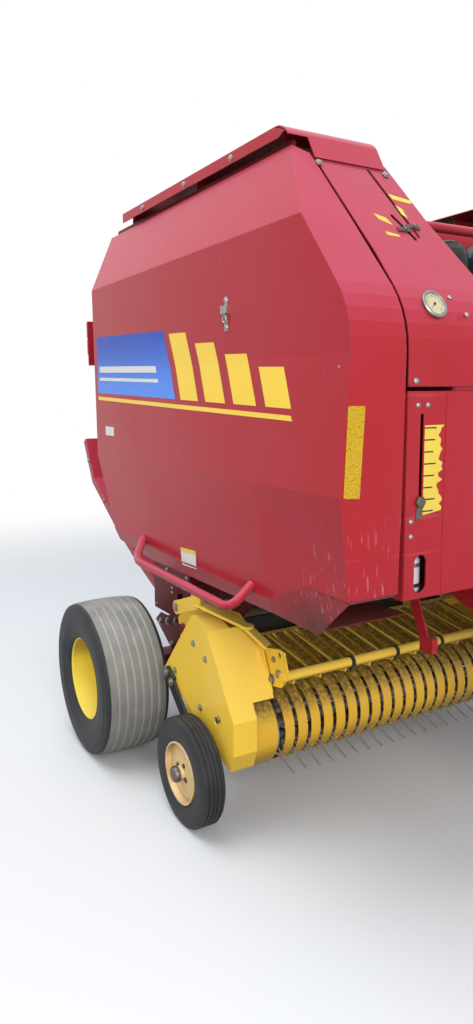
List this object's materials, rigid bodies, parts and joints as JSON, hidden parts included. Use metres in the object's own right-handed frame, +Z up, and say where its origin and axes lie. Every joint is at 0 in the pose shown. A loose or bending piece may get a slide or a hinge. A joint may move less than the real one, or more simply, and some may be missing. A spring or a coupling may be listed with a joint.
{
  "type": "round baler",
  "caption": "Towed round baler with gull-wing side shields, a rear tailgate on two cylinders, a low pickup with a windguard and gauge wheels, and a long tongue on a parking jack.",
  "frame": {"origin": "on the ground under the middle of the machine's overall box", "axes": "+X towards the left-hand side seen from behind facing forward, the front points to -Y, +Z up"},
  "size_m": [2.452, 4.1, 2.645],
  "materials": {
    "red_paint": "semi-gloss paint, a little worn",
    "inner_paint": "dusty paint in shade",
    "yellow_paint": "semi-gloss paint",
    "pale_paint": "faded paint with rust",
    "black_paint": "satin paint",
    "bare_steel": "dull",
    "chrome_rod": "polished",
    "tine_steel": "dull spring steel",
    "black_plastic": "matt",
    "net_white": "fine knitted net",
    "belt_rubber": "matt",
    "lamp_lens": "moulded lens",
    "tyre_rubber": "dusty"
  },
  "bodies": {
    "frame": {"side_plates": "inner_paint", "cross_members": "inner_paint", "axle_beam": "inner_paint", "tongue": "red_paint", "hitch_clevis": "bare_steel", "jack_tube": "red_paint", "gearbox": "inner_paint", "pto_shaft": "black_plastic", "hinge_rails": "inner_paint", "front_shield_R": "red_paint", "front_shield_L": "red_paint", "front_boxes": "red_paint", "net_box": "inner_paint", "net_roll": "net_white", "chamber_cover": "red_paint", "roof_covers": "red_paint", "top_tube": "red_paint", "accumulators": "black_plastic", "pressure_gauge": "bare_steel", "chamber_rollers": "bare_steel", "front_belts": "belt_rubber", "inner_panels": "inner_paint", "chain_drive": "bare_steel"},
    "shield_R": {"side_shield_R": "red_paint"},
    "shield_L": {"side_shield_L": "red_paint"},
    "tailgate": {"tailgate": "red_paint", "tailgate_rollers": "bare_steel", "tailgate_belts": "belt_rubber", "tail_lamps": "lamp_lens"},
    "barrel_R": {"gate_barrel_R": "black_paint"},
    "barrel_L": {"gate_barrel_L": "black_paint"},
    "rod_R": {"gate_rod_R": "chrome_rod"},
    "rod_L": {"gate_rod_L": "chrome_rod"},
    "wheel_R": {"wheel_tyre_R": "tyre_rubber", "wheel_rim_R": "yellow_paint"},
    "wheel_L": {"wheel_tyre_L": "tyre_rubber", "wheel_rim_L": "yellow_paint"},
    "pickup": {"pickup_frame": "yellow_paint", "pickup_bands": "yellow_paint", "pickup_ends": "yellow_paint", "gauge_arms": "black_paint"},
    "reel": {"pickup_reel": "tine_steel"},
    "windguard": {"windguard": "yellow_paint"},
    "gauge_R": {"gauge_tyre_R": "tyre_rubber", "gauge_rim_R": "pale_paint"},
    "gauge_L": {"gauge_tyre_L": "tyre_rubber", "gauge_rim_L": "pale_paint"},
    "jack": {"jack_leg": "bare_steel"},
    "lid": {"front_lid": "red_paint"}
  },
  "joints": [
    {"name": "shield_R_hinge", "type": "hinge", "parent": "frame", "child": "shield_R", "pos_m": [-0.87, 0.29, 2.566], "axis": [0, 1, 0], "range_deg": [0, 75]},
    {"name": "shield_L_hinge", "type": "hinge", "parent": "frame", "child": "shield_L", "pos_m": [0.87, 0.29, 2.566], "axis": [0, -1, 0], "range_deg": [0, 75]},
    {"name": "tailgate_hinge", "type": "hinge", "parent": "frame", "child": "tailgate", "pos_m": [0, 0.91, 2.48], "axis": [1, 0, 0], "range_deg": [0, 60]},
    {"name": "barrel_R_pivot", "type": "hinge", "parent": "frame", "child": "barrel_R", "pos_m": [-0.7, 0.55, 1.45], "axis": [1, 0, 0], "range_deg": [0, 5.49]},
    {"name": "barrel_L_pivot", "type": "hinge", "parent": "frame", "child": "barrel_L", "pos_m": [0.7, 0.55, 1.45], "axis": [1, 0, 0], "range_deg": [0, 5.49]},
    {"name": "rod_R_slide", "type": "slide", "parent": "barrel_R", "child": "rod_R", "axis": [0, 0.5922, 0.8058], "range_m": [0, 0.3032]},
    {"name": "rod_L_slide", "type": "slide", "parent": "barrel_L", "child": "rod_L", "axis": [0, 0.5922, 0.8058], "range_m": [0, 0.3032]},
    {"name": "wheel_R_spin", "type": "hinge", "parent": "frame", "child": "wheel_R", "pos_m": [-1.061, 0.85, 0.385], "axis": [1, 0, 0], "continuous": true},
    {"name": "wheel_L_spin", "type": "hinge", "parent": "frame", "child": "wheel_L", "pos_m": [1.061, 0.85, 0.385], "axis": [1, 0, 0], "continuous": true},
    {"name": "pickup_lift", "type": "hinge", "parent": "frame", "child": "pickup", "pos_m": [0, 0.42, 0.7], "axis": [-1, 0, 0], "range_deg": [0, 20]},
    {"name": "reel_spin", "type": "hinge", "parent": "pickup", "child": "reel", "pos_m": [0, -0.064, 0.373], "axis": [1, 0, 0], "continuous": true},
    {"name": "windguard_lift", "type": "hinge", "parent": "pickup", "child": "windguard", "pos_m": [0, 0.29, 0.85], "axis": [-1, 0, 0], "range_deg": [0, 8]},
    {"name": "gauge_R_spin", "type": "hinge", "parent": "pickup", "child": "gauge_R", "pos_m": [-1.04, 0.004, 0.23], "axis": [1, 0, 0], "continuous": true},
    {"name": "gauge_L_spin", "type": "hinge", "parent": "pickup", "child": "gauge_L", "pos_m": [1.04, 0.004, 0.23], "axis": [1, 0, 0], "continuous": true},
    {"name": "jack_slide", "type": "slide", "parent": "frame", "child": "jack", "axis": [0, 0, 1], "range_m": [0, 0.3]},
    {"name": "lid_hinge", "type": "hinge", "parent": "frame", "child": "lid", "pos_m": [0, -0.978, 1.78], "axis": [-1, 0, 0], "range_deg": [0, 80]}
  ],
  "couplings": [
    {"joint": "barrel_R_pivot", "follows": "tailgate_hinge", "ratio": 0.09153},
    {"joint": "barrel_L_pivot", "follows": "tailgate_hinge", "ratio": 0.09153},
    {"joint": "rod_R_slide", "follows": "tailgate_hinge", "m_per_rad": 0.28956},
    {"joint": "rod_L_slide", "follows": "tailgate_hinge", "m_per_rad": 0.28956}
  ]
}
